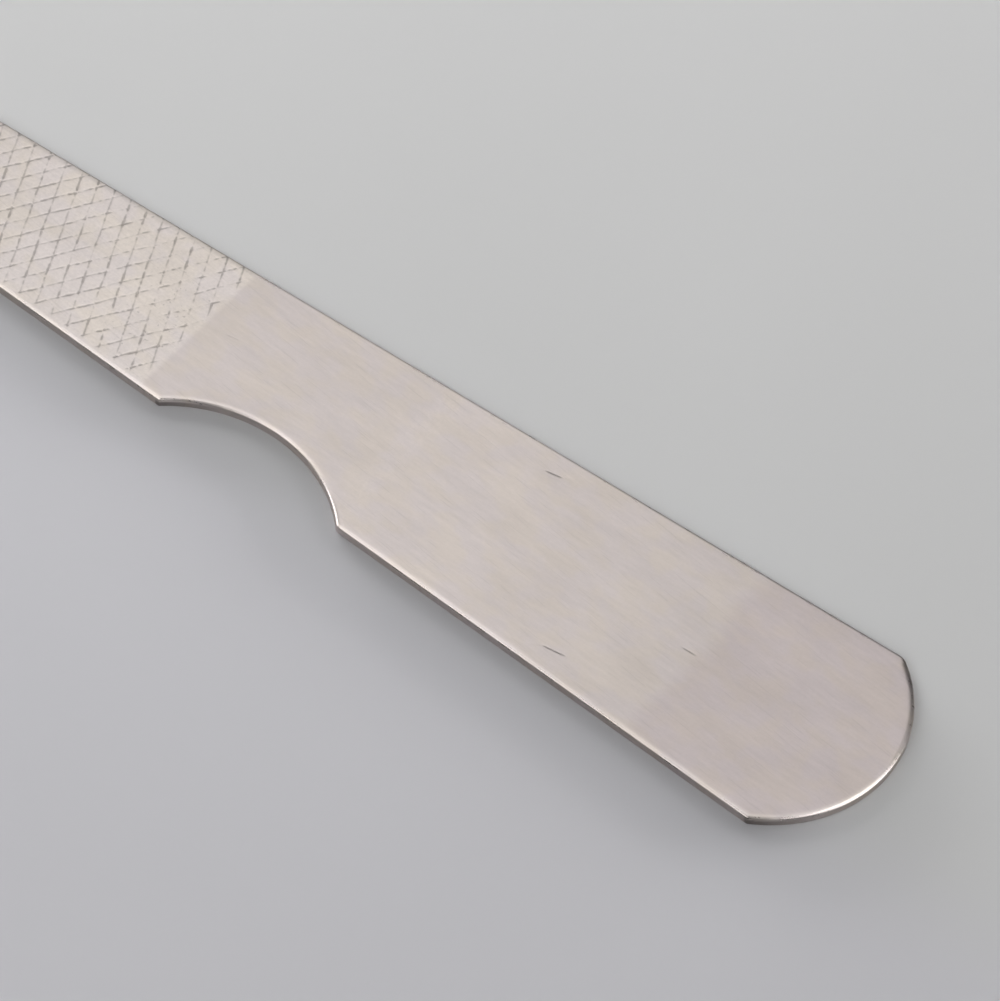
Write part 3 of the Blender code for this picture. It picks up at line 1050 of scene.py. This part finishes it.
# name, azimuth (from +X towards +Y) and elevation seen from the strip, distance, width, height, radiance,
# and whether it lights matt surfaces and whether steel mirrors it
SOFTBOXES = (
    ("panel_far_right", 60.0, 17.0, 0.7, 0.50, 0.26, 1.92, True, False),
    ("panel_far", 105.0, 17.0, 0.7, 0.50, 0.26, 0.95, True, False),
    ("panel_far_left", 150.0, 17.0, 0.7, 0.50, 0.26, 5.21, True, False),
    ("strip_far_right", 60.0, 4.5, 0.7, 0.50, 0.06, 62.75, True, False),
    ("strip_far", 105.0, 4.5, 0.7, 0.50, 0.06, 2.86, True, False),
    ("strip_far_left", 150.0, 4.5, 0.7, 0.50, 0.06, 76.95, True, False),
    ("fill_near", -95.0, 40.0, 1.3, 1.40, 0.80, 1.87, True, False),
    ("face_box", 120.0, 52.0, 1.3, 0.65, 0.65, 0.86, False, True),
    ("face_high", 85.0, 67.0, 1.3, 0.50, 0.45, 0.72, False, True),
    ("face_top", 150.0, 72.0, 1.3, 0.45, 0.50, 1.17, False, True),
    ("tip_high", 45.0, 60.0, 1.3, 0.65, 0.50, 2.77, False, True),
    ("tip_low", 25.0, 34.0, 1.3, 1.00, 0.50, 3.23, False, True),
    ("tip_near", -5.0, 62.0, 1.3, 0.60, 0.60, 1.13, False, True),
    ("crown_near", -125.0, 62.0, 1.3, 0.80, 0.50, 1.86, False, True),
    ("crown_left", 178.0, 60.0, 1.3, 0.60, 0.50, 0.85, False, True),
    ("crown_low", 180.0, 34.0, 1.3, 0.70, 0.50, 3.3, False, True),
    ("low_far", 137.0, 22.0, 1.3, 0.75, 0.32, 1.0, False, True),
    ("low_near", -45.0, 15.0, 1.3, 0.60, 0.35, 1.3, False, True),
    ("low_left", -160.0, 20.0, 1.3, 0.80, 0.40, 0.8, False, True),
)


def direction(azimuth, elevation):
    """A unit vector: azimuth is measured from +X towards +Y."""
    flat = math.cos(elevation)
    return Vector((flat * math.cos(azimuth), flat * math.sin(azimuth), math.sin(elevation)))


def make_floor():
    bpy.ops.mesh.primitive_plane_add(size=FLOOR_SIZE)
    floor = bpy.context.object
    floor.name = "floor"
    floor.data.materials.append(floor_material())


def make_surround():
    """A bowl around the floor that glows as painted light, lights nothing, and that only the camera sees."""
    bowl = bmesh.new()
    rings = []
    for radius, height in SURROUND_RINGS:
        angles = [math.tau * side / SURROUND_SIDES for side in range(SURROUND_SIDES)]
        ring = [(radius * math.cos(a), radius * math.sin(a), height + SURROUND_LIFT) for a in angles]
        rings.append([bowl.verts.new(place) for place in ring])
    for inner, outer in zip(rings, rings[1:]):
        for side in range(SURROUND_SIDES):
            after = (side + 1) % SURROUND_SIDES
            bowl.faces.new((inner[side], outer[side], outer[after], inner[after]))
    data = bpy.data.meshes.new("surround")
    bowl.to_mesh(data)
    bowl.free()
    data.shade_smooth()
    data.materials.append(surround_material())
    surround = bpy.data.objects.new("surround", data)
    surround.visible_diffuse = False
    surround.visible_glossy = False
    surround.visible_transmission = False
    surround.visible_shadow = False
    bpy.context.scene.collection.objects.link(surround)


def make_softbox(name, azimuth, elevation, distance, width, height, radiance, lights_matt, mirrored):
    light = bpy.data.lights.new(name, "AREA")
    light.shape = "RECTANGLE"
    light.size = width
    light.size_y = height
    light.energy = math.pi * width * height * radiance
    box = bpy.data.objects.new(name, light)
    towards = direction(math.radians(azimuth), math.radians(elevation))
    box.location = towards * distance
    box.rotation_mode = "QUATERNION"
    box.rotation_quaternion = towards.to_track_quat("Z", "Y")
    box.visible_camera = False
    box.visible_diffuse = lights_matt
    box.visible_glossy = mirrored
    bpy.context.scene.collection.objects.link(box)
    return box


def make_world():
    world = bpy.data.worlds.new("studio")
    bpy.context.scene.world = world
    world.use_nodes = True
    background = next(node for node in world.node_tree.nodes if node.type == "BACKGROUND")
    background.inputs["Color"].default_value = (1.0, 1.0, 1.0, 1.0)
    background.inputs["Strength"].default_value = WORLD_LEVEL


def make_camera():
    back = Vector((
        math.sin(CAMERA_AZIMUTH) * math.cos(CAMERA_ELEVATION),
        -math.cos(CAMERA_AZIMUTH) * math.cos(CAMERA_ELEVATION),
        math.sin(CAMERA_ELEVATION),
    ))
    level_right = Vector((math.cos(CAMERA_AZIMUTH), math.sin(CAMERA_AZIMUTH), 0.0))
    level_up = back.cross(level_right)
    right = level_right * math.cos(CAMERA_ROLL) + level_up * math.sin(CAMERA_ROLL)
    up = back.cross(right)
    data = bpy.data.cameras.new("camera")
    data.lens = CAMERA_LENS
    data.sensor_width = CAMERA_SENSOR
    data.sensor_fit = "HORIZONTAL"
    data.clip_start = 0.01
    data.clip_end = 50.0
    camera = bpy.data.objects.new("camera", data)
    camera.matrix_world = Matrix.Translation(CAMERA_TARGET + back * CAMERA_DISTANCE) @ Matrix(
        (right, up, back)
    ).transposed().to_4x4()
    bpy.context.scene.collection.objects.link(camera)
    bpy.context.scene.camera = camera


# ---------------------------------------------------------------- scene

strip = build_strip()
strip.data.materials.append(steel_material())
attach(strip, "root")
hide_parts("steel_strip")

make_floor()
make_surround()
make_world()
for softbox in SOFTBOXES:
    make_softbox(*softbox)
make_camera()
bpy.context.scene.view_settings.view_transform = "Standard"
